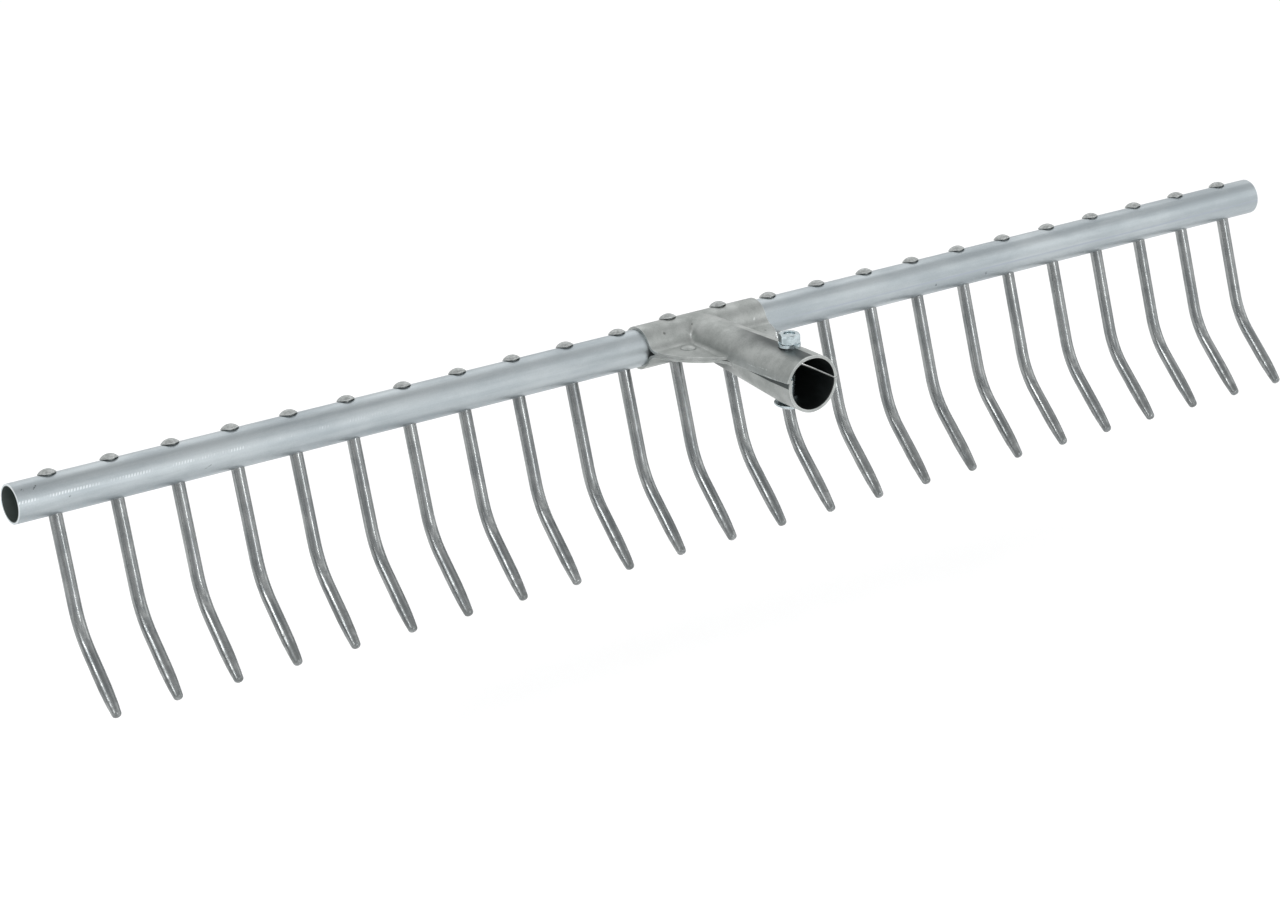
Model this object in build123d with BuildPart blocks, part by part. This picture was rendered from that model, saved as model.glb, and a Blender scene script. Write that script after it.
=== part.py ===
# Hay rake head: a steel crossbar tube with twenty-four riveted tines and a folded
# sheet socket for the handle, closed by one coach bolt.
# Millimetres. The socket's bore runs along Y with its mouth at the origin, the
# crossbar runs along X behind it, and +Z is up, where the tines' heads are.

import os
from math import cos, radians, sin, sqrt, tan

from build123d import *

os.makedirs("parts", exist_ok=True)

# Crossbar tube
tube_diameter = 20.0
tube_wall = 1.2
end_margin = 21.5          # last tine to the end of the tube

# Tines, round bar with an upset head above the tube
tine_count = 24
tine_pitch = 33.0
tine_diameter = 6.8
tine_lean = 17.15          # degrees that the upper run leans towards the handle
tine_upper_run = 55.0      # tube axis to the start of the bend
tine_bend_radius = 47.0
tine_bend_angle = 29.0
tine_lower_run = 35.0      # end of the bend to the tip
tip_taper_length = 20.0
tip_diameter = 4.5
tip_rounding = 1.9
head_diameter = 9.2
head_height = 2.5
head_rim = 0.4             # straight edge under the dome
hole_clearance = 0.05      # round a tine or a shank, on the radius

# Handle socket, one folded sheet
sheet_thickness = 1.5
tube_to_mouth = 101.2      # tube axis to the socket's mouth
bore_radius = 13.75
bore_seat_length = 16.0    # straight bore before the taper
neck_root = 85.0           # where the taper ends, from the mouth
neck_end = 104.0           # where the upper half pipe has sunk into the sleeve
upper_root_radius = 11.2   # inside, upper half of the neck
lower_root_radius = 8.6    # inside, lower half of the neck
sleeve_clearance = 0.05    # sheet round the tube, on the radius
saddle_half_width = 38.5
web_bend_radius = 6.5      # bend between sleeve and flange, outside
crease_radius = 2.5        # where the neck leaves flanges, webs and sleeve, outside
fold_gap = 0.2             # between the two flanges
flange_shoulder = 95.0     # where the flanges' rounded corners start, from the mouth
flange_nose = 61.0         # where the rounded corners end
flange_nose_half_width = 17.5
flange_tip = 52.0          # where the flanges have run out along the neck
slit_width = 0.9           # along the right side of the neck
lap_gap = 0.15             # left side, between the upper sheet and the lower one inside it
lap_angle = 19.0           # how far the lower sheet goes up inside the upper one
lap_edge_height = 3.5      # upper sheet's edge above the bore's axis, at the mouth

# Flange rivets
rivet_offset = 20.0        # from the middle, along the crossbar
rivet_back = 81.0          # from the mouth
rivet_shank_diameter = 5.0
rivet_head_diameter = 8.6
rivet_head_height = 1.3
rivet_rim = 0.3

# Clamp bolt M6, nut and spring washer
bolt_back = 20.0           # from the mouth
bolt_diameter = 6.0
bolt_head_diameter = 16.0
bolt_head_height = 3.6
bolt_head_rim = 0.8
bolt_square = 6.0
bolt_square_height = 3.5
bolt_end_recess = 0.6      # shank ends this far below the top of the nut
bolt_end_chamfer = 0.6
bolt_hole_clearance = 0.2  # in the socket, all round the bolt
nut_width = 10.0           # across flats
nut_height = 5.0
nut_chamfer_angle = 30.0
nut_turn = 10.0            # degrees, how the flats lie
nut_mouth_diameter = 6.8   # countersink of the thread
washer_diameter = 11.8
washer_thickness = 1.6
washer_split = 0.8
washer_skew = 20.0         # degrees, the split off square
washer_turn = 60.0         # degrees, where the split lies round the bolt
thread_clearance = 0.05    # nut and washer round the bolt, on the radius
seat_gap = 0.03            # between faces that bear on each other

# Worked out from the sizes above
tube_radius = tube_diameter / 2
tube_length = (tine_count - 1) * tine_pitch + 2 * end_margin
tine_radius = tine_diameter / 2
tine_places = [(i - (tine_count - 1) / 2) * tine_pitch for i in range(tine_count)]
sleeve_inner = tube_radius + sleeve_clearance
sleeve_outer = sleeve_inner + sheet_thickness
neck_outer = bore_radius + sheet_thickness
lap_shift = sheet_thickness + lap_gap
flange_face = fold_gap / 2 + sheet_thickness
lap_outer = neck_outer + lap_shift
washer_seat = neck_outer + seat_gap
nut_seat = washer_seat + washer_thickness + seat_gap
nut_top = nut_seat + nut_height
past = 1.0                 # how far a cutting shape runs past what it cuts

up_tine = Vector(0, sin(radians(tine_lean)), cos(radians(tine_lean)))


def write(piece, name):
    piece.part.label = name
    export_step(piece.part, f"parts/{name}.step")


def in_socket(x):
    return abs(x) < saddle_half_width


def across_tine(x):
    """Plane square to a tine where it crosses the tube's axis, facing up the tine."""
    return Plane(origin=(x, tube_to_mouth, 0), x_dir=(1, 0, 0), z_dir=up_tine)


def along_axis(origin, up):
    """Plane that holds the X direction and an axis, with the axis as its local Y."""
    return Plane(origin=origin, x_dir=(1, 0, 0), z_dir=Vector(1, 0, 0).cross(up))


def domed_head(origin, up, radius, rim, height, base):
    """Head turned about an axis: flat underside, straight rim, one arc to the crown."""
    rise = height - rim
    crown_radius = (radius ** 2 + rise ** 2) / (2 * rise)
    with BuildPart() as head:
        with BuildSketch(along_axis(origin, up)):
            with BuildLine():
                under = Line((0, base), (radius, base))
                side = Line(under @ 1, (radius, base + rim))
                dome = RadiusArc(side @ 1, (0, base + height), -crown_radius)
                Line(dome @ 1, under @ 0)
            make_face()
        revolve(axis=Axis(origin, up))
    return head.part


# Crossbar tube, drilled through both walls for every tine
with BuildPart() as crossbar_tube:
    with BuildSketch(Plane.YZ.offset(-tube_length / 2)):
        with Locations((tube_to_mouth, 0)):
            Circle(tube_radius)
            Circle(tube_radius - tube_wall, mode=Mode.SUBTRACT)
    extrude(amount=tube_length)
    with Locations(*[across_tine(x) for x in tine_places]):
        Cylinder(tine_radius + hole_clearance, 2 * tube_diameter, mode=Mode.SUBTRACT)
write(crossbar_tube, "crossbar_tube")


def make_tine(x):
    """Bar swept down the bent line, drawn in to a blunt tip, with an upset dome head."""
    seat = (sleeve_outer if in_socket(x) else tube_radius) + seat_gap
    axis = Vector(x, tube_to_mouth, 0)
    top = axis + up_tine * seat
    knee = axis - up_tine * tine_upper_run
    head = domed_head(axis, up_tine, head_diameter / 2, head_rim, head_height, seat)
    with BuildPart() as tine:
        with BuildLine(Plane.YZ.offset(x)) as spine:
            upper = Line((top.Y, top.Z), (knee.Y, knee.Z))
            bend = JernArc(upper @ 1, (-up_tine.Y, -up_tine.Z), tine_bend_radius, -tine_bend_angle)
            PolarLine(bend @ 1, tine_lower_run - tip_taper_length, direction=bend % 1)
        with BuildSketch(across_tine(x).offset(seat)):
            Circle(tine_radius)
        sweep(path=spine.wires()[0])
        taper = Axis(spine.line @ 1, spine.line % 1)
        with BuildSketch(along_axis(taper.position, taper.direction)):
            with BuildLine():
                start = Line((0, 0), (tine_radius, 0))
                flank = TangentArc(start @ 1, (tip_diameter / 2, tip_taper_length), tangent=(0, 1))
                Polyline(flank @ 1, (0, tip_taper_length), start @ 0)
            make_face()
        revolve(axis=taper)
        fillet(tine.edges().sort_by(taper)[-1], tip_rounding)
        add(head)
    return tine


for number, place in enumerate(tine_places, 1):
    write(make_tine(place), f"tine_{number:02d}")


# Handle socket: one sheet round the back of the tube, pressed together in front of
# it as flanges and opened out into two half pipes that make the neck
def fold_section(face, wrap, web, front):
    """Side outline of the fold: round the tube, down the webs, along the flanges."""
    reach = wrap + web
    rise = face + web
    run = sqrt(reach ** 2 - rise ** 2)
    foot = tube_to_mouth - run
    turn = Vector(run, -rise - reach).normalized()
    middle = Vector(foot, rise) + turn * web
    touch = Vector(tube_to_mouth, 0) + Vector(-run, rise) * (wrap / reach)
    with BuildSketch(Plane.YZ) as section:
        with BuildLine():
            Polyline((foot, face), (front, face), (front, -face), (foot, -face))
            ThreePointArc((foot, face), (middle.X, middle.Y), (touch.X, touch.Y))
            ThreePointArc((touch.X, touch.Y), (tube_to_mouth + wrap, 0), (touch.X, -touch.Y))
            ThreePointArc((touch.X, -touch.Y), (middle.X, -middle.Y), (foot, -face))
        make_face()
    return section.sketch


def flange_plan():
    """Plan outline of the sheet: square at the back, rounded down to the neck in front."""
    tip_half_width = neck_radius(flange_tip, lower_root_radius) + sheet_thickness / 2
    back = tube_to_mouth + sleeve_outer + past
    with BuildSketch(Plane.XY) as plan:
        with BuildLine() as edge:
            Line((saddle_half_width, back), (saddle_half_width, flange_shoulder))
            TangentArc((saddle_half_width, flange_shoulder), (flange_nose_half_width, flange_nose),
                       tangent=(0, -1))
            Line((flange_nose_half_width, flange_nose), (tip_half_width, flange_tip))
            Line((tip_half_width, flange_tip), (0, flange_tip))
            mirror(about=Plane.YZ)
            Line((-saddle_half_width, back), (saddle_half_width, back))
        make_face()
    return plan.sketch


def neck_radius(y, root_radius):
    """Bore of one half of the neck: straight at the mouth, then an even taper."""
    share = max(0, (y - bore_seat_length) / (neck_root - bore_seat_length))
    return bore_radius + (root_radius - bore_radius) * share


def lap_offset(y):
    """How far the upper sheet's left side stands out, to pass over the lower sheet."""
    return lap_shift - neck_radius(y, upper_root_radius) + neck_radius(y, lower_root_radius)


def arch(y, radius, shift):
    """Half disc over the bore's axis, its left quarter moved out by the shift."""
    with BuildSketch(Plane.XZ.offset(-y)) as section:
        with BuildLine():
            right = CenterArc((0, 0), radius, 0, 90)
            crest = Line(right @ 1, (-shift, radius))
            left = CenterArc((-shift, 0), radius, 90, 90)
            Line(left @ 1, right @ 0)
        make_face()
    return section.sketch


def upper_half_pipe(wall, start):
    """Solid under the upper sheet's outer or inner face, from the mouth into the saddle."""
    mouth = bore_radius + wall
    root = upper_root_radius + wall
    end = sleeve_inner + wall - past
    with BuildPart() as half:
        extrude(arch(start, mouth, lap_shift), amount=start - bore_seat_length)
        loft([arch(bore_seat_length, mouth, lap_shift),
              arch(flange_tip, neck_radius(flange_tip, upper_root_radius) + wall,
                   lap_offset(flange_tip)),
              arch(neck_root, root, lap_gap)], ruled=True)
        loft([arch(neck_root, root, lap_gap),
              arch((neck_root + neck_end) / 2, (root * 2 + end) / 3, lap_gap),
              arch(neck_end, end, lap_gap)])
    return half.part


def lower_half_pipe(wall, start):
    """Solid over the lower sheet's outer or inner face, turned about the bore's axis."""
    mouth = bore_radius + wall
    root = lower_root_radius + wall
    with BuildPart() as half:
        with BuildSketch(Plane.XY):
            Polygon((0, start), (mouth, start), (mouth, bore_seat_length), (root, neck_root),
                    (root, tube_to_mouth), (0, tube_to_mouth), align=None)
        revolve(axis=Axis.Y, revolution_arc=180)
    return half.part


def opened_fold(fold, upper, lower, radius):
    """The fold and both half pipes as one solid, with the creases between them rounded."""
    with BuildPart() as body:
        add(fold)
        add(upper)
        add(lower)
        creases = [edge for edge in new_edges(fold, upper, lower, combined=body.part)
                   if edge.center().Y > flange_tip and abs(edge.center().Z) > fold_gap / 4]
        fillet(creases, radius)
    return body.part


with BuildPart() as fold_outside:
    extrude(fold_section(flange_face, sleeve_outer, web_bend_radius, flange_tip - past),
            amount=saddle_half_width + past, both=True)
    extrude(flange_plan(), amount=2 * sleeve_outer, both=True, mode=Mode.INTERSECT)

with BuildPart() as fold_inside:
    extrude(fold_section(fold_gap / 2, sleeve_inner, web_bend_radius + sheet_thickness,
                         flange_tip - 2 * past),
            amount=saddle_half_width + 2 * past, both=True)

outside = opened_fold(fold_outside.part, upper_half_pipe(sheet_thickness, 0),
                      lower_half_pipe(sheet_thickness, 0), crease_radius)
inside = opened_fold(fold_inside.part, upper_half_pipe(0, -past),
                     lower_half_pipe(0, -past), crease_radius + sheet_thickness)

with BuildPart() as handle_socket:
    # The sheet is what lies between the outer and the inner form
    add(outside)
    add(inside, mode=Mode.SUBTRACT)
    # Right side: slit between the two half pipes
    with BuildSketch(Plane.YZ):
        Polygon((-past, 0), (flange_tip, 0), (flange_tip, slit_width), (-past, slit_width),
                align=None)
    extrude(amount=neck_outer + past, mode=Mode.SUBTRACT)
    # Left side: the upper sheet's edge, then the lower sheet carried up inside it
    with BuildSketch(Plane.YZ):
        Polygon((-past, 0), (flange_tip, 0), (-past, lap_edge_height), align=None)
    extrude(amount=-lap_outer - past, mode=Mode.SUBTRACT)
    tip_radius = neck_radius(flange_tip, lower_root_radius)
    with BuildSketch(Plane.XY):
        Polygon((-bore_radius, 0), (-neck_outer, 0), (-neck_outer, bore_seat_length),
                (-tip_radius - sheet_thickness, flange_tip), (-tip_radius, flange_tip),
                (-bore_radius, bore_seat_length), align=None)
    revolve(axis=Axis.Y, revolution_arc=lap_angle)
    # Holes for the two tines behind the neck, the flange rivets and the bolt
    with Locations(*[across_tine(x) for x in tine_places if in_socket(x)]):
        Cylinder(tine_radius + hole_clearance, 3 * sleeve_outer, mode=Mode.SUBTRACT)
    with Locations((rivet_offset, rivet_back, 0), (-rivet_offset, rivet_back, 0)):
        Cylinder(rivet_shank_diameter / 2 + hole_clearance, 4 * flange_face, mode=Mode.SUBTRACT)
    with Locations((0, bolt_back, neck_outer)):
        Cylinder(bolt_diameter / 2 + bolt_hole_clearance, bore_radius, mode=Mode.SUBTRACT)
    with Locations((0, bolt_back, -neck_outer)):
        Box(bolt_square + 2 * bolt_hole_clearance, bolt_square + 2 * bolt_hole_clearance,
            bore_radius, mode=Mode.SUBTRACT)
write(handle_socket, "handle_socket")


# Flange rivets, a low head on each side
def make_flange_rivet(x):
    place = Vector(x, rivet_back, 0)
    seat = flange_face + seat_gap
    upper = domed_head(place, Vector(0, 0, 1), rivet_head_diameter / 2, rivet_rim,
                       rivet_head_height, seat)
    lower = domed_head(place, Vector(0, 0, -1), rivet_head_diameter / 2, rivet_rim,
                       rivet_head_height, seat)
    with BuildPart() as rivet:
        with Locations(place):
            Cylinder(rivet_shank_diameter / 2, 2 * seat)
        add(upper)
        add(lower)
    return rivet


write(make_flange_rivet(-rivet_offset), "flange_rivet_left")
write(make_flange_rivet(rivet_offset), "flange_rivet_right")

# Clamp bolt, a coach bolt put in from below: domed head, square neck, round shank
bolt_seat = neck_outer + seat_gap
bolt_end = nut_top - bolt_end_recess
bolt_head = domed_head(Vector(0, bolt_back, 0), Vector(0, 0, -1), bolt_head_diameter / 2,
                       bolt_head_rim, bolt_head_height, bolt_seat)
with BuildPart() as clamp_bolt:
    with Locations((0, bolt_back, -bolt_seat)):
        Cylinder(bolt_diameter / 2, bolt_seat + bolt_end,
                 align=(Align.CENTER, Align.CENTER, Align.MIN))
        Box(bolt_square, bolt_square, bolt_square_height,
            align=(Align.CENTER, Align.CENTER, Align.MIN))
    add(bolt_head)
    chamfer(clamp_bolt.edges().group_by(Axis.Z)[-1], bolt_end_chamfer)
write(clamp_bolt, "clamp_bolt")

# Spring washer, cut through once and slightly on the skew
with BuildPart() as lock_washer:
    with BuildSketch(Plane.XY.offset(washer_seat)):
        with Locations((0, bolt_back)):
            Circle(washer_diameter / 2)
            Circle(bolt_diameter / 2 + thread_clearance, mode=Mode.SUBTRACT)
    extrude(amount=washer_thickness)
    with Locations(Location((0, bolt_back, washer_seat + washer_thickness / 2),
                            (0, 0, washer_turn))):
        with Locations(Location((washer_diameter / 2, 0, 0), (washer_skew, 0, 0))):
            Box(washer_diameter, washer_split, 3 * washer_thickness, mode=Mode.SUBTRACT)
write(lock_washer, "lock_washer")

# Clamp nut, a hexagon with both ends turned off at its corners
nut_corner = nut_width / 2 / cos(radians(30))
nut_chamfer = (nut_corner - nut_width / 2) * tan(radians(nut_chamfer_angle))
with BuildPart() as clamp_nut:
    with BuildSketch(Plane.XZ.offset(-bolt_back)):
        Polygon((0, nut_seat), (nut_width / 2, nut_seat), (nut_corner, nut_seat + nut_chamfer),
                (nut_corner, nut_top - nut_chamfer), (nut_width / 2, nut_top), (0, nut_top),
                align=None)
    revolve(axis=Axis((0, bolt_back, 0), (0, 0, 1)))
    with BuildSketch(Plane.XY.offset(nut_seat)):
        with Locations((0, bolt_back)):
            RegularPolygon(nut_width / 2, 6, major_radius=False, rotation=nut_turn)
    extrude(amount=nut_height, mode=Mode.INTERSECT)
    with Locations((0, bolt_back, nut_seat)):
        Cylinder(bolt_diameter / 2 + thread_clearance, 3 * nut_height, mode=Mode.SUBTRACT)
        Cone(nut_mouth_diameter / 2, bolt_diameter / 2, (nut_mouth_diameter - bolt_diameter) / 2,
             align=(Align.CENTER, Align.CENTER, Align.MIN), mode=Mode.SUBTRACT)
write(clamp_nut, "clamp_nut")
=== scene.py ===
import math

import bpy
import numpy as np
from mathutils import Matrix, Vector


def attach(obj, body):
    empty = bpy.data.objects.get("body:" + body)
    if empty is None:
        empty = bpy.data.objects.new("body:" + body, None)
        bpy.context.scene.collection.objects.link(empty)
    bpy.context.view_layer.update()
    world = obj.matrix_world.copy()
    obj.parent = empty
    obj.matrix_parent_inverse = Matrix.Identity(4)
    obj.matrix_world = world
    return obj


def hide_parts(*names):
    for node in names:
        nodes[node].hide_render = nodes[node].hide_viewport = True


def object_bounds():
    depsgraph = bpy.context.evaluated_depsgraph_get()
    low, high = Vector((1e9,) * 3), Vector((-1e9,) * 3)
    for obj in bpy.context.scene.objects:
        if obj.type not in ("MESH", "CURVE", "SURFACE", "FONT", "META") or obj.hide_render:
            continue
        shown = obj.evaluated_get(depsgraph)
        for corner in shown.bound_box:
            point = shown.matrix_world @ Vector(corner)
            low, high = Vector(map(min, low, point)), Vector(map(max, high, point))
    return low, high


# Hay rake head: galvanised crossbar, riveted tines and a folded sheet handle socket.
# Everything is in metres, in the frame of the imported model: the socket's mouth is at
# the origin, the crossbar runs along X behind it and +Z is up.

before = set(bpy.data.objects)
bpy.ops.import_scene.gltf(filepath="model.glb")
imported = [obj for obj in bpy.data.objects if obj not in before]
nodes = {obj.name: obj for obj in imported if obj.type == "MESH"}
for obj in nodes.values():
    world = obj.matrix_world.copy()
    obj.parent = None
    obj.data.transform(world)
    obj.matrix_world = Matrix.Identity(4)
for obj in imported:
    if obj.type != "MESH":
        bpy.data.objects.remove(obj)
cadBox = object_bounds()
print("frame loaded:", len(nodes), "nodes")

bpy.context.scene.view_settings.view_transform = "Standard"


# Camera, floor and light

cameraView = {
    "aim": (-0.03813, 0.1012, -0.0575),   # what the middle of the picture looks at
    "distance": 1.9232,
    "azimuth": -34.77,                    # degrees, 0 looks along +Y
    "elevation": 20.80,
    "roll": -1.14,
    "focalLength": 101.77,                # millimetres on a 36 mm sensor
}


def makeCamera(view):
    # Camera on a sphere round its aim: azimuth and elevation give the way back to it
    turn, rise = math.radians(view["azimuth"]), math.radians(view["elevation"])
    back = Vector((math.sin(turn) * math.cos(rise), -math.cos(turn) * math.cos(rise), math.sin(rise)))
    camera = bpy.data.objects.new("camera", bpy.data.cameras.new("camera"))
    bpy.context.scene.collection.objects.link(camera)
    level = (-back).to_track_quat("-Z", "Y").to_matrix().to_4x4()
    roll = Matrix.Rotation(math.radians(view["roll"]), 4, "Z")
    place = Matrix.Translation(Vector(view["aim"]) + back * view["distance"])
    camera.matrix_world = place @ level @ roll
    camera.data.lens = view["focalLength"]
    camera.data.sensor_width = 36
    camera.data.clip_start, camera.data.clip_end = 0.1, 50
    bpy.context.scene.camera = camera


# Softboxes: where they stand, their width and height, and their power
softboxes = {
    "topBack": {"place": (0.9, 1.5, 1.7), "size": (2.2, 1.2), "power": 5},
    "front": {"place": (0.10, -2.6, 0.45), "size": (0.25, 1.4), "power": 9},
    "leftHigh": {"place": (-2.2, -0.4, 1.5), "size": (0.5, 1.2), "power": 15},
    "right": {"place": (2.2, -1.2, 0.9), "size": (1.4, 1.4), "power": 4},
}
softboxAim = (0.0, 0.08, -0.02)

# World: brightness by height above the horizon, from straight down to straight up
worldTones = {-1.0: 0.80, 0.0: 0.92, 0.50: 0.95, 0.76: 0.86, 0.92: 0.50, 1.0: 0.40}
worldLeft = {"start": -0.30, "end": -0.85, "share": 0.55}   # a darker room on the far left


def makeSoftboxes():
    for name, box in softboxes.items():
        light = bpy.data.lights.new(name, "AREA")
        light.shape = "RECTANGLE"
        light.size, light.size_y = box["size"]
        light.energy = box["power"]
        lamp = bpy.data.objects.new(name, light)
        bpy.context.scene.collection.objects.link(lamp)
        lamp.location = box["place"]
        lamp.rotation_euler = (Vector(softboxAim) - Vector(box["place"])).to_track_quat("-Z", "Y").to_euler()


# Shader shorthand: a node, with each input set to a value or linked to another node

def shaderNode(tree, kind, inputs=None, output=0, **settings):
    node = tree.nodes.new("ShaderNode" + kind)
    for name, value in settings.items():
        setattr(node, name, value)
    for name, value in (inputs or {}).items():
        if isinstance(value, bpy.types.NodeSocket):
            tree.links.new(value, node.inputs[name])
        else:
            node.inputs[name].default_value = value
    return node.outputs[output]


def maths(tree, operation, *values, clamp=False):
    return shaderNode(tree, "Math", dict(enumerate(values)), operation=operation, use_clamp=clamp)


def vectorMaths(tree, operation, first, second, output=0):
    return shaderNode(tree, "VectorMath", {0: first, 1: second}, output, operation=operation)


def ramp(tree, value, low, high, bottom=0.0, top=1.0):
    # Smooth step of the value from low to high, mapped to bottom and top
    inputs = {"Value": value, "From Min": low, "From Max": high, "To Min": bottom, "To Max": top}
    return shaderNode(tree, "MapRange", inputs, interpolation_type="SMOOTHSTEP")


def mixColour(tree, share, first, second):
    return shaderNode(tree, "Mix", {0: share, 6: first, 7: second}, 2, data_type="RGBA")


def noise(tree, vector, scale, detail=3.0, roughness=0.5):
    return shaderNode(tree, "TexNoise", {"Vector": vector, "Scale": scale, "Detail": detail, "Roughness": roughness})


def spot(tree, place, centre, radius):
    # 1 at the centre, falling to 0 at the radius
    away = vectorMaths(tree, "DISTANCE", place, centre, "Value")
    return ramp(tree, away, radius, radius * 0.3)


def stroke(tree, place, start, end, width):
    # 1 on the line from start to end, falling to 0 at half the width beside it
    along = Vector(end) - Vector(start)
    reach = vectorMaths(tree, "SUBTRACT", place, start)
    share = vectorMaths(tree, "DOT_PRODUCT", reach, along / along.length_squared, "Value")
    share = maths(tree, "MULTIPLY", share, 1.0, clamp=True)
    foot = shaderNode(tree, "VectorMath", {0: along, "Scale": share}, operation="SCALE")
    away = vectorMaths(tree, "DISTANCE", reach, foot, "Value")
    return ramp(tree, away, width / 2, width * 0.15)


def total(tree, masks):
    # Sum of the masks, held at 1
    result = masks[0]
    for mask in masks[1:]:
        result = maths(tree, "ADD", result, mask, clamp=True)
    return result


floorSettings = {
    "drop": 0.10,           # below the tines' tips
    "halfSize": 12.0,
    "colour": (0.95, 0.95, 0.95, 1),
    "roughness": 0.9,
    "glow": 0.22,           # on top of its own light, so that it shows as white
}


def makeFloor(settings):
    side, height = settings["halfSize"], cadBox[0].z - settings["drop"]
    corners = [(-side, -side, height), (side, -side, height), (side, side, height), (-side, side, height)]
    mesh = bpy.data.meshes.new("floor")
    mesh.from_pydata(corners, [], [(0, 1, 2, 3)])
    floor = bpy.data.objects.new("floor", mesh)
    bpy.context.scene.collection.objects.link(floor)
    paint = bpy.data.materials.new("floorPaint")
    paint.use_nodes = True
    tree = paint.node_tree
    shader = tree.nodes["Principled BSDF"]
    shader.inputs["Base Color"].default_value = settings["colour"]
    shader.inputs["Roughness"].default_value = settings["roughness"]
    shader.inputs["Emission Color"].default_value = (1, 1, 1, 1)
    rays = [shaderNode(tree, "LightPath", output=ray)
            for ray in ("Is Camera Ray", "Is Glossy Ray", "Is Transmission Ray")]
    glow = maths(tree, "MULTIPLY", total(tree, rays), settings["glow"])
    tree.links.new(glow, shader.inputs["Emission Strength"])
    mesh.materials.append(paint)


def makeWorld():
    world = bpy.data.worlds.new("studio")
    bpy.context.scene.world = world
    world.use_nodes = True
    tree = world.node_tree
    direction = shaderNode(tree, "TexCoord", output="Generated")
    height = shaderNode(tree, "SeparateXYZ", {"Vector": direction}, "Z")
    side = shaderNode(tree, "SeparateXYZ", {"Vector": direction}, "X")
    tones = tree.nodes.new("ShaderNodeValToRGB")
    tree.links.new(maths(tree, "MULTIPLY_ADD", height, 0.5, 0.5), tones.inputs["Fac"])
    stops = tones.color_ramp.elements
    stops[0].position, stops[1].position = 0.0, 1.0
    for level in list(worldTones)[1:-1]:
        stops.new((level + 1) / 2)
    for stop, tone in zip(stops, worldTones.values()):
        stop.color = (tone, tone, tone, 1)
    left = ramp(tree, side, worldLeft["end"], worldLeft["start"], worldLeft["share"], 1.0)
    tree.links.new(tones.outputs["Color"], tree.nodes["Background"].inputs["Color"])
    tree.links.new(left, tree.nodes["Background"].inputs["Strength"])


makeCamera(cameraView)
makeFloor(floorSettings)
makeSoftboxes()
makeWorld()
print("camera, floor and light made")


# Where things are, for the finishes

tubeAxis = 0.1012            # Y of the crossbar's axis, which lies at Z 0
tubeRadius = 0.0100
tubeInside = 0.0088
sleeveRadius = 0.01155       # socket round the tube, outside
socketHalfWidth = 0.0385
tineLean = math.radians(17.15)
tineLowerLean = math.radians(46.15)
bendStart, bendEnd = 0.055, 0.079     # down the tine from the tube's axis


def roundTheTube(tree, place):
    # Distance from the tube's axis, and the angle round it: 0 on top, 90 in front
    y = shaderNode(tree, "SeparateXYZ", {"Vector": place}, "Y")
    z = shaderNode(tree, "SeparateXYZ", {"Vector": place}, "Z")
    front = maths(tree, "SUBTRACT", tubeAxis, y)
    reach = maths(tree, "SQRT", maths(tree, "ADD", maths(tree, "POWER", front, 2.0), maths(tree, "POWER", z, 2.0)))
    angle = maths(tree, "DEGREES", maths(tree, "ARCTAN2", front, z))
    return reach, angle


def newMaterial(name):
    material = bpy.data.materials.new(name)
    material.use_nodes = True
    tree = material.node_tree
    shader = tree.nodes["Principled BSDF"]
    shader.inputs["Metallic"].default_value = 1.0
    return material, tree, shader, shaderNode(tree, "TexCoord", output="Object")


def dress(material, *names):
    for name in names:
        slots = nodes[name].data.materials
        slots.clear()
        slots.append(material)


# Crossbar: drawn and dipped tube, cool grey

tubeFinish = {
    "light": (0.50, 0.545, 0.565, 1),
    "dark": (0.39, 0.435, 0.46, 1),
    "cloudScale": 42,           # zinc clouds, per metre
    "streakScale": 420,         # lines along the tube
    "grainScale": 1500,
    "roughness": (0.37, 0.47),
    "bright": (0.72, 0.76, 0.78, 1),
    "rollerAngle": 70.5,        # row of short marks left by a roller
    "rollerHalfWidth": 5.5,     # degrees
    "rollerPitch": 0.0016,
    "rollerFade": (-0.30, -0.17),
    "seamAngle": 90.0,
    "seamColour": (0.40, 0.44, 0.50, 1),
    "seamStart": (0.02, 0.10),
    # painted shade inside the tube, with a greenish tint
    "insideShade": (0.20, 0.235, 0.225, 1),
    "stain": (0.17, 0.19, 0.20, 1),
    "stainSpots": (((-0.3970, 0.0952, 0.0080), 0.0011), ((0.1927, 0.0917, -0.0030), 0.0013),
                   ((0.1565, 0.0916, -0.0026), 0.0010), ((-0.3745, 0.0912, 0.0009), 0.0008)),
    "stainStrokes": (((-0.3915, 0.0946, 0.0075), (-0.3896, 0.0958, 0.0085), 0.0010),
                     ((-0.3020, 0.0916, -0.0028), (-0.2985, 0.0913, -0.0012), 0.0005)),
}


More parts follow.
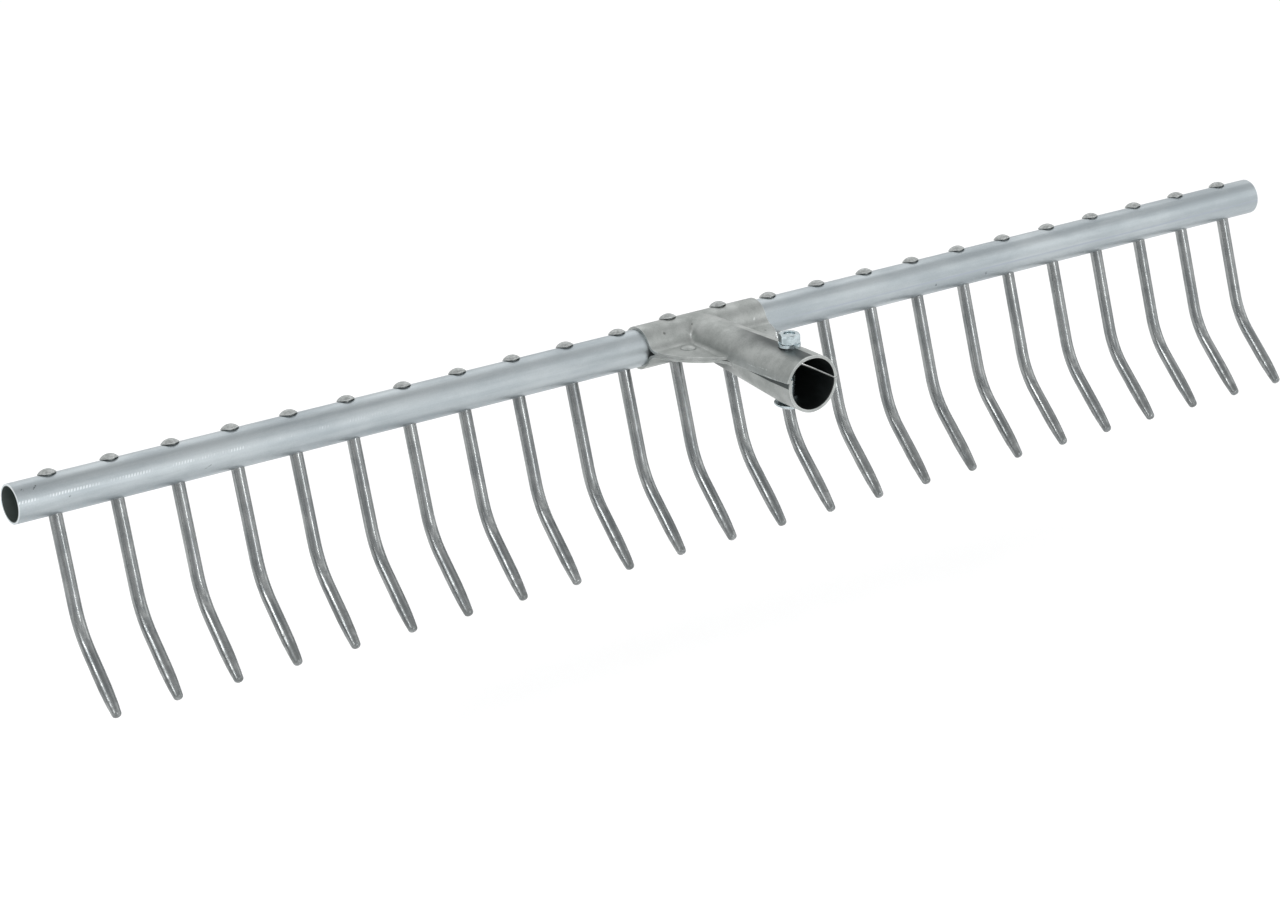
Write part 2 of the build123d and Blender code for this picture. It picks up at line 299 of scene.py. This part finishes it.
def makeTubeZinc(finish):
    material, tree, shader, place = newMaterial("tubeZinc")
    x = shaderNode(tree, "SeparateXYZ", {"Vector": place}, "X")
    reach, angle = roundTheTube(tree, place)
    drawn = shaderNode(tree, "Mapping", {"Vector": place, "Scale": (0.03, 1, 1)})
    soft = shaderNode(tree, "Mapping", {"Vector": place, "Scale": (0.35, 1, 1)})
    clouds = noise(tree, soft, finish["cloudScale"], 5, 0.62)
    streaks = noise(tree, drawn, finish["streakScale"], 3)
    grain = noise(tree, place, finish["grainScale"], 2)
    tone = maths(tree, "ADD", ramp(tree, clouds, 0.30, 0.70), ramp(tree, streaks, 0.30, 0.72, -0.22, 0.22))
    tone = maths(tree, "ADD", tone, ramp(tree, grain, 0.3, 0.7, -0.12, 0.12), clamp=True)
    colour = mixColour(tree, tone, finish["dark"], finish["light"])

    # Seam of the tube: a thin bluish line in front, on the right half
    offSeam = maths(tree, "ABSOLUTE", maths(tree, "SUBTRACT", angle, finish["seamAngle"]))
    seam = maths(tree, "MULTIPLY", ramp(tree, offSeam, 3.5, 1.0), ramp(tree, x, *finish["seamStart"]))
    seam = maths(tree, "MULTIPLY", seam, ramp(tree, streaks, 0.30, 0.60, 0.35, 0.95))
    colour = mixColour(tree, seam, colour, finish["seamColour"])

    # Roller marks: slanting ticks in a row, fading out towards the socket
    offRow = maths(tree, "ABSOLUTE", maths(tree, "SUBTRACT", angle, finish["rollerAngle"]))
    row = ramp(tree, offRow, finish["rollerHalfWidth"], finish["rollerHalfWidth"] * 0.4)
    slant = maths(tree, "MULTIPLY_ADD", angle, 0.00006, x)
    phase = maths(tree, "FRACT", maths(tree, "DIVIDE", slant, finish["rollerPitch"]))
    tick = ramp(tree, maths(tree, "PINGPONG", phase, 0.5), 0.22, 0.40)
    patchy = ramp(tree, noise(tree, place, 130, 2), 0.40, 0.62)
    fade = ramp(tree, x, *finish["rollerFade"], 1.0, 0.0)
    ticks = maths(tree, "MULTIPLY", maths(tree, "MULTIPLY", row, tick), maths(tree, "MULTIPLY", patchy, fade))
    colour = mixColour(tree, maths(tree, "MULTIPLY", ticks, 0.8), colour, finish["bright"])

    # Dark spots and scratches where the zinc is hurt
    stains = [spot(tree, place, centre, radius) for centre, radius in finish["stainSpots"]]
    stains += [stroke(tree, place, *line) for line in finish["stainStrokes"]]
    stain = maths(tree, "MULTIPLY", total(tree, stains), ramp(tree, noise(tree, place, 1300, 2), 0.36, 0.56))
    colour = mixColour(tree, stain, colour, finish["stain"])

    # Cut ends bright, inside of the tube painted dark as shade, with a dull greenish tint
    cut = ramp(tree, maths(tree, "ABSOLUTE", x), 0.4006, 0.4009)
    colour = mixColour(tree, maths(tree, "MULTIPLY", cut, 0.7), colour, finish["bright"])
    inside = ramp(tree, reach, tubeInside + 0.0004, tubeInside + 0.0001)
    colour = mixColour(tree, inside, colour, finish["insideShade"])
    tree.links.new(colour, shader.inputs["Base Color"])

    rough = ramp(tree, clouds, 0.3, 0.7, finish["roughness"][1], finish["roughness"][0])
    rough = maths(tree, "MULTIPLY_ADD", inside, 0.2, rough)
    tree.links.new(rough, shader.inputs["Roughness"])
    height = maths(tree, "ADD", maths(tree, "MULTIPLY", grain, 0.35), maths(tree, "MULTIPLY", ticks, 0.8))
    height = maths(tree, "SUBTRACT", height, maths(tree, "MULTIPLY", seam, 0.6))
    bump = shaderNode(tree, "Bump", {"Height": height, "Strength": 0.30, "Distance": 0.00012})
    tree.links.new(bump, shader.inputs["Normal"])
    return material


dress(makeTubeZinc(tubeFinish), "crossbar_tube")
print("crossbar finished")


# Tines: round bar, darker, with lines along it, grainy specks and duller tips

tineFinish = {
    "light": (0.33, 0.345, 0.345, 1),
    "dark": (0.20, 0.215, 0.22, 1),
    "speck": (0.10, 0.11, 0.115, 1),
    "streakScale": 900,
    "cloudScale": 90,
    "speckScale": 1700,
    "roughness": (0.20, 0.32),
    "tipColour": (0.17, 0.18, 0.18, 1),
    "tipFade": (-0.068, -0.092),       # height where the wear starts and is full
    "head": (0.56, 0.58, 0.575, 1),
    "headRoughness": 0.58,
    # painted shadow colour for the gap under the heads
    "headGapShadow": (0.12, 0.13, 0.13, 1),
}


def makeTineZinc(finish):
    material, tree, shader, place = newMaterial("tineZinc")
    x = shaderNode(tree, "SeparateXYZ", {"Vector": place}, "X")
    z = shaderNode(tree, "SeparateXYZ", {"Vector": place}, "Z")
    fromAxis = vectorMaths(tree, "SUBTRACT", place, (0, tubeAxis, 0))

    # Coordinates that follow the bar: down its length, and across it in the plane of its bend
    down = vectorMaths(tree, "DOT_PRODUCT", fromAxis, (0, -math.sin(tineLean), -math.cos(tineLean)), "Value")
    acrossUpper = vectorMaths(tree, "DOT_PRODUCT", place, (0, math.cos(tineLean), -math.sin(tineLean)), "Value")
    acrossLower = vectorMaths(tree, "DOT_PRODUCT", place, (0, math.cos(tineLowerLean), -math.sin(tineLowerLean)), "Value")
    bent = ramp(tree, down, bendStart, bendEnd)
    across = shaderNode(tree, "Mix", {0: bent, 2: acrossUpper, 3: acrossLower}, data_type="FLOAT")
    bar = shaderNode(tree, "CombineXYZ", {"X": x, "Y": across, "Z": maths(tree, "MULTIPLY", down, 0.035)})
    streaks = noise(tree, bar, finish["streakScale"], 3, 0.6)
    clouds = noise(tree, place, finish["cloudScale"], 4, 0.6)
    specks = noise(tree, place, finish["speckScale"], 2, 0.7)
    tone = maths(tree, "ADD", ramp(tree, streaks, 0.30, 0.68), ramp(tree, clouds, 0.32, 0.68, -0.35, 0.30), clamp=True)
    colour = mixColour(tree, tone, finish["dark"], finish["light"])
    speck = maths(tree, "MULTIPLY", ramp(tree, specks, 0.56, 0.70), ramp(tree, clouds, 0.35, 0.62, 0.85, 0.25))
    colour = mixColour(tree, speck, colour, finish["speck"])

    # Tips rubbed dull in patches
    worn = maths(tree, "MULTIPLY", ramp(tree, z, finish["tipFade"][1], finish["tipFade"][0], 1.0, 0.0),
                 ramp(tree, noise(tree, place, 210, 4, 0.65), 0.42, 0.60))
    colour = mixColour(tree, maths(tree, "MULTIPLY", worn, 0.75), colour, finish["tipColour"])

    # Heads above the tube: pale and dull, with painted shadow in the gap where they meet it
    reach, angle = roundTheTube(tree, place)
    inSocket = maths(tree, "LESS_THAN", maths(tree, "ABSOLUTE", x), socketHalfWidth)
    seat = maths(tree, "MULTIPLY_ADD", inSocket, sleeveRadius - tubeRadius, tubeRadius)
    above = maths(tree, "SUBTRACT", reach, seat)
    head = maths(tree, "MULTIPLY", ramp(tree, above, 0.0, 0.0001), maths(tree, "GREATER_THAN", z, 0.0))
    headTone = mixColour(tree, ramp(tree, noise(tree, place, 700, 3), 0.35, 0.65), (0.40, 0.42, 0.415, 1), finish["head"])
    colour = mixColour(tree, head, colour, headTone)
    # Painted shadow just above the seat, broken up by noise
    gapShadow = maths(tree, "MULTIPLY", head, ramp(tree, above, 0.0006, 0.00015))
    gapShadow = maths(tree, "MULTIPLY", gapShadow, ramp(tree, noise(tree, place, 400, 2), 0.38, 0.60))
    colour = mixColour(tree, gapShadow, colour, finish["headGapShadow"])
    tree.links.new(colour, shader.inputs["Base Color"])

    rough = ramp(tree, streaks, 0.3, 0.7, finish["roughness"][1], finish["roughness"][0])
    rough = maths(tree, "MULTIPLY_ADD", worn, 0.18, rough)
    rough = shaderNode(tree, "Mix", {0: head, 2: rough, 3: finish["headRoughness"]}, data_type="FLOAT")
    tree.links.new(rough, shader.inputs["Roughness"])
    height = maths(tree, "SUBTRACT", maths(tree, "MULTIPLY", streaks, 0.7), maths(tree, "MULTIPLY", speck, 0.8))
    bump = shaderNode(tree, "Bump", {"Height": height, "Strength": 0.35, "Distance": 0.00010})
    tree.links.new(bump, shader.inputs["Normal"])
    return material


dress(makeTineZinc(tineFinish), *[name for name in nodes if name.startswith("tine_")])
print("tines finished")


# Socket: pressed sheet, matte warm grey, with a painted highlight along its edges, painted shade in its dents, crease
# and bore, and scuffed beside the seam

socketFinish = {
    "light": (0.455, 0.475, 0.465, 1),
    "dark": (0.345, 0.365, 0.355, 1),
    "cloudScale": 75,
    "grainScale": 1300,
    "roughness": (0.42, 0.55),
    # painted highlight colour along the edges; the scuffs also use it as their own pale colour
    "edge": (0.74, 0.77, 0.76, 1),
    "edgeRadius": 0.0005,
    "scuffs": (((-0.0150, 0.040, 0.0048), (-0.0158, 0.018, 0.0058), 0.0010),
               ((-0.0146, 0.048, 0.0040), (-0.0158, 0.012, 0.0045), 0.0006),
               ((-0.0140, 0.052, 0.0062), (-0.0150, 0.034, 0.0070), 0.0007),
               ((-0.0162, 0.030, 0.0026), (-0.0168, 0.006, 0.0030), 0.0007),
               ((0.0315, 0.0925, 0.0060), (0.0300, 0.0905, 0.0040), 0.0016)),
    "dents": (((-0.0270, 0.0930, 0.0080), 0.0012), ((0.0289, 0.0789, 0.0018), 0.0011)),
    "creases": (((-0.0085, 0.0935, 0.0088), (-0.0100, 0.0895, 0.0048), 0.0018),),
    # painted shade colour in the dents and the crease
    "dentShade": (0.13, 0.14, 0.13, 1),
    # painted shade inside the neck's bore
    "insideShade": (0.085, 0.095, 0.095, 1),
    "mouthRadius": 0.01375,
    "boreSeat": 0.016,
    "boreTaper": 0.055,         # how much the bore narrows per length behind its straight seat
    "lapShift": 0.00165,
}


def insideTheBore(tree, place, finish):
    # 1 inside the neck, where shade is painted: distance from the bore's axis against its narrowing radius
    x, y, z = (shaderNode(tree, "SeparateXYZ", {"Vector": place}, part) for part in "XYZ")
    behind = maths(tree, "MAXIMUM", maths(tree, "SUBTRACT", y, finish["boreSeat"]), 0.0)
    radius = maths(tree, "MULTIPLY_ADD", behind, -finish["boreTaper"], finish["mouthRadius"])
    upperLeft = maths(tree, "MULTIPLY", maths(tree, "LESS_THAN", x, 0.0), maths(tree, "GREATER_THAN", z, 0.0))
    radius = maths(tree, "MULTIPLY_ADD", upperLeft, finish["lapShift"], radius)
    reach = maths(tree, "SQRT", maths(tree, "ADD", maths(tree, "POWER", x, 2.0), maths(tree, "POWER", z, 2.0)))
    deep = ramp(tree, y, 0.0002, 0.0012)
    notBack = ramp(tree, y, 0.086, 0.078)
    inside = maths(tree, "MULTIPLY", ramp(tree, maths(tree, "SUBTRACT", reach, radius), 0.0009, 0.0003), deep)
    return maths(tree, "MULTIPLY", inside, notBack)


def makeSocketZinc(finish):
    material, tree, shader, place = newMaterial("socketZinc")
    clouds = noise(tree, place, finish["cloudScale"], 5, 0.65)
    grain = noise(tree, place, finish["grainScale"], 3)
    tone = maths(tree, "ADD", ramp(tree, clouds, 0.30, 0.70), ramp(tree, grain, 0.3, 0.7, -0.22, 0.22), clamp=True)
    colour = mixColour(tree, tone, finish["dark"], finish["light"])

    # Painted highlight along the edges: the rounded normal leans away from the face's own one
    bevel = shaderNode(tree, "Bevel", {"Radius": finish["edgeRadius"]}, samples=6)
    normal = shaderNode(tree, "NewGeometry", output="Normal")
    lean = vectorMaths(tree, "DOT_PRODUCT", bevel, normal, "Value")
    edge = ramp(tree, lean, 0.985, 0.86)
    edge = maths(tree, "MULTIPLY", edge, ramp(tree, clouds, 0.35, 0.60, 0.35, 0.9))
    colour = mixColour(tree, edge, colour, finish["edge"])

    # Scuffs in the edge highlight's pale colour, then dents and the pinched crease at the neck's root with painted
    # shade in them
    broken = ramp(tree, noise(tree, place, 620, 3, 0.7), 0.42, 0.58)
    scuff = maths(tree, "MULTIPLY", total(tree, [stroke(tree, place, *line) for line in finish["scuffs"]]), broken)
    colour = mixColour(tree, maths(tree, "MULTIPLY", scuff, 0.85), colour, finish["edge"])
    dentShade = total(tree, [spot(tree, place, centre, radius) for centre, radius in finish["dents"]])
    crease = total(tree, [stroke(tree, place, *line) for line in finish["creases"]])
    hollow = total(tree, [dentShade, crease])
    colour = mixColour(tree, maths(tree, "MULTIPLY", hollow, 0.7), colour, finish["dentShade"])

    # Painted shade inside the bore
    inside = insideTheBore(tree, place, finish)
    colour = mixColour(tree, inside, colour, finish["insideShade"])
    tree.links.new(colour, shader.inputs["Base Color"])

    rough = ramp(tree, clouds, 0.3, 0.7, finish["roughness"][1], finish["roughness"][0])
    rough = maths(tree, "SUBTRACT", rough, maths(tree, "MULTIPLY", edge, 0.12))
    tree.links.new(rough, shader.inputs["Roughness"])
    height = maths(tree, "ADD", maths(tree, "MULTIPLY", grain, 0.30), maths(tree, "MULTIPLY", clouds, 0.8))
    height = maths(tree, "SUBTRACT", height, maths(tree, "MULTIPLY", hollow, 2.5))
    height = maths(tree, "ADD", height, maths(tree, "MULTIPLY", scuff, 0.4))
    bump = shaderNode(tree, "Bump", {"Height": height, "Strength": 0.45, "Distance": 0.00020})
    tree.links.new(bump, shader.inputs["Normal"])
    return material


dress(makeSocketZinc(socketFinish), "handle_socket", "flange_rivet_left", "flange_rivet_right")
print("socket finished")


# Fasteners: bright zinc, slightly blue

boltFinish = {
    "light": (0.56, 0.64, 0.67, 1),
    "dark": (0.36, 0.42, 0.44, 1),
    "cloudScale": 320,
    "grainScale": 2600,
    "roughness": (0.20, 0.34),
    # painted highlight colour for the edges
    "edge": (0.86, 0.92, 0.94, 1),
    "edgeRadius": 0.00025,
}


def makeBoltZinc(finish):
    material, tree, shader, place = newMaterial("boltZinc")
    clouds = noise(tree, place, finish["cloudScale"], 4, 0.6)
    grain = noise(tree, place, finish["grainScale"], 3)
    tone = maths(tree, "ADD", ramp(tree, clouds, 0.3, 0.7), ramp(tree, grain, 0.3, 0.7, -0.2, 0.2), clamp=True)
    colour = mixColour(tree, tone, finish["dark"], finish["light"])
    # Painted highlight along the edges: the rounded normal leans away from the face's own one
    bevel = shaderNode(tree, "Bevel", {"Radius": finish["edgeRadius"]}, samples=6)
    normal = shaderNode(tree, "NewGeometry", output="Normal")
    edge = ramp(tree, vectorMaths(tree, "DOT_PRODUCT", bevel, normal, "Value"), 0.985, 0.85)
    colour = mixColour(tree, maths(tree, "MULTIPLY", edge, 0.7), colour, finish["edge"])
    tree.links.new(colour, shader.inputs["Base Color"])
    rough = ramp(tree, clouds, 0.3, 0.7, finish["roughness"][1], finish["roughness"][0])
    tree.links.new(rough, shader.inputs["Roughness"])
    bump = shaderNode(tree, "Bump", {"Height": grain, "Strength": 0.3, "Distance": 0.00006})
    tree.links.new(bump, shader.inputs["Normal"])
    return material


boltZinc = makeBoltZinc(boltFinish)
dress(boltZinc, "clamp_bolt", "clamp_nut", "lock_washer")
print("fasteners finished")


# Clamp bolt with its real thread, in place of the plain one

boltShape = {
    "centre": (0.0, 0.020),
    "headSeat": -0.01528,       # underside of the head
    "headRadius": 0.0080,
    "headRim": 0.0008,
    "headHeight": 0.0036,
    "squareHalf": 0.0030,
    "squareTop": -0.01178,
    "shankRadius": 0.0029,
    "threadRadius": 0.0030,
    "threadDepth": 0.00055,
    "threadPitch": 0.0010,
    "threadStart": -0.0060,
    "end": 0.02131,
    "endChamfer": 0.0006,
    "around": 48,
    "perTurn": 8,
}


def closedSurface(name, rings, firstPole, lastPole):
    # Rings of points joined by quads that close round, with a fan of triangles to each pole
    count, around = rings.shape[:2]
    points = np.vstack([rings.reshape(-1, 3), [firstPole, lastPole]])
    cell = np.arange((count - 1) * around).reshape(count - 1, around)
    nextCell = np.roll(cell, -1, axis=1)
    quads = np.stack([cell, nextCell, nextCell + around, cell + around], axis=-1).reshape(-1, 4)
    start, last = np.arange(around), np.arange(around) + (count - 1) * around
    firstFan = np.stack([np.full(around, count * around), np.roll(start, -1), start], axis=-1)
    lastFan = np.stack([np.full(around, count * around + 1), last, np.roll(last, -1)], axis=-1)
    mesh = bpy.data.meshes.new(name)
    mesh.from_pydata(points.tolist(), [], quads.tolist() + firstFan.tolist() + lastFan.tolist())
    mesh.update()
    mesh.shade_smooth()
    mesh.set_sharp_from_angle(angle=math.radians(35))
    piece = bpy.data.objects.new(name, mesh)
    bpy.context.scene.collection.objects.link(piece)
    return piece


def makeBolt(shape):
    # Height and radius down one side, then radius changed by the angle: a square is the
    # half width over the larger of cosine and sine, with softened corners, and a thread
    # is a triangle wave of height over pitch less the share of a turn
    seat, radius, rim = shape["headSeat"], shape["headRadius"], shape["headRim"]
    rise = shape["headHeight"] - rim
    crown = (radius ** 2 + rise ** 2) / (2 * rise)
    sweep = np.linspace(0.08, 1.0, 12) * math.asin(radius / crown)
    domeZ = seat - shape["headHeight"] + crown * (1 - np.cos(sweep))
    domeR = crown * np.sin(sweep)
    neckZ = np.array([seat, seat, seat, shape["squareTop"], shape["squareTop"], shape["squareTop"], shape["threadStart"]])
    neckR = np.array([radius, 0.0045, 0.0, 0.0, 0.0, shape["shankRadius"], shape["shankRadius"]])
    square = np.array([0, 0, 1, 1, 1, 0, 0])
    turns = (shape["end"] - shape["threadStart"]) / shape["threadPitch"]
    threadZ = np.linspace(shape["threadStart"], shape["end"], int(turns * shape["perTurn"]))[1:]
    height = np.concatenate([domeZ, neckZ, threadZ])
    side = np.concatenate([domeR, neckR, np.full(len(threadZ), shape["threadRadius"])])
    isSquare = np.concatenate([np.zeros(len(domeZ)), square, np.zeros(len(threadZ))])[:, None]
    deep = np.concatenate([np.zeros(len(domeZ) + len(neckZ)), np.minimum(1, np.arange(len(threadZ)) / shape["perTurn"])])

    angle = np.linspace(0, 2 * np.pi, shape["around"], endpoint=False)[None, :]
    flat = (np.abs(np.cos(angle)) ** 18 + np.abs(np.sin(angle)) ** 18) ** (-1 / 18) * shape["squareHalf"]
    wave = np.abs(((height[:, None] / shape["threadPitch"] - angle / (2 * np.pi)) % 1) * 2 - 1)
    reach = side[:, None] * (1 - isSquare) + flat * isSquare - shape["threadDepth"] * wave * deep[:, None]
    limit = shape["threadRadius"] - np.maximum(0, height - shape["end"] + shape["endChamfer"])
    isThread = (deep > 0)[:, None]
    reach = np.where(isThread, np.minimum(reach, limit[:, None]), reach)
    rings = np.stack([shape["centre"][0] + reach * np.cos(angle), shape["centre"][1] + reach * np.sin(angle),
                      np.broadcast_to(height[:, None], reach.shape)], axis=-1)
    foot = (*shape["centre"], seat - shape["headHeight"])
    return closedSurface("threadedBolt", rings, foot, (*shape["centre"], shape["end"]))


threadedBolt = makeBolt(boltShape)
threadedBolt.data.materials.append(boltZinc)
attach(threadedBolt, "root")
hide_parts("clamp_bolt")
print("threaded bolt made:", len(threadedBolt.data.polygons), "faces")
